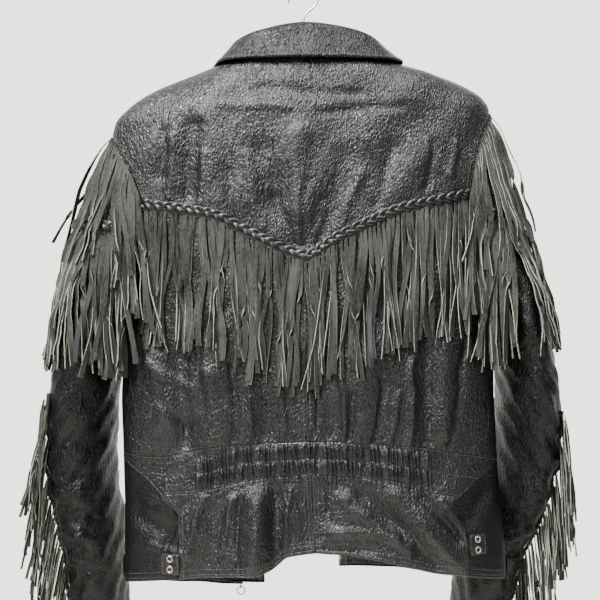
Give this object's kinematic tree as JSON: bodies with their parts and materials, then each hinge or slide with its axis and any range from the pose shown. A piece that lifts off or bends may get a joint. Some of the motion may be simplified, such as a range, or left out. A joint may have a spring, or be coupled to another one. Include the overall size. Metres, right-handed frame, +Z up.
{
  "type": "fringe jacket on a hanger",
  "caption": "Black leather jacket on a hanger, with braided V trim and long suede fringe across its back and down its sleeves, a shirred waist and eyelet side tabs.",
  "frame": {"origin": "inside top of the hanger's hook, where a rail or a wall hook carries it", "axes": "+Z up, +Y the way the wearer faces, so the back is towards -Y, and +X the wearer's right side"},
  "size_m": [0.7217, 0.2572, 0.9916],
  "materials": {
    "black_leather": "semi-gloss pebbled grain",
    "braided_leather": "smooth semi-gloss",
    "suede_fringe": "matt flesh side",
    "zip_tape": "woven",
    "nickel": "polished nickel",
    "steel_wire": "bright wire",
    "hanger_plastic": "moulded"
  },
  "bodies": {
    "jacket": {"yoke": "black_leather", "back_left": "black_leather", "back_right": "black_leather", "waist_band": "black_leather", "peplum_left": "black_leather", "peplum_right": "black_leather", "wind_flap": "black_leather", "collar": "black_leather", "side_panel_left": "black_leather", "front_left": "black_leather", "sleeve_back_left": "black_leather", "sleeve_front_left": "black_leather", "tab_back_left": "black_leather", "tab_front_left": "black_leather", "side_panel_right": "black_leather", "front_right": "black_leather", "sleeve_back_right": "black_leather", "sleeve_front_right": "black_leather", "tab_back_right": "black_leather", "tab_front_right": "black_leather", "braid_back": "braided_leather", "braid_arm_left": "braided_leather", "braid_arm_right": "braided_leather", "fringe_back": "suede_fringe", "fringe_cap_left": "suede_fringe", "fringe_arm_left": "suede_fringe", "fringe_cuff_left": "suede_fringe", "zip_tape_left": "zip_tape", "tab_back_left_eyelet_1": "nickel", "tab_back_left_eyelet_2": "nickel", "tab_front_left_eyelet_1": "nickel", "tab_front_left_eyelet_2": "nickel", "fringe_cap_right": "suede_fringe", "fringe_arm_right": "suede_fringe", "fringe_cuff_right": "suede_fringe", "zip_tape_right": "zip_tape", "tab_back_right_eyelet_1": "nickel", "tab_back_right_eyelet_2": "nickel", "tab_front_right_eyelet_1": "nickel", "tab_front_right_eyelet_2": "nickel", "zip_slider": "nickel", "hanger_hook": "steel_wire", "hanger_hub": "hanger_plastic", "hanger_arms": "hanger_plastic"},
    "pull": {"zip_pull_ring": "nickel"}
  },
  "joints": [
    {"name": "pull_ring_hinge", "type": "hinge", "parent": "jacket", "child": "pull", "pos_m": [-0.08524, 0.06092, -0.8154], "axis": [1, 0, 0], "range_deg": [-75, 110]}
  ]
}
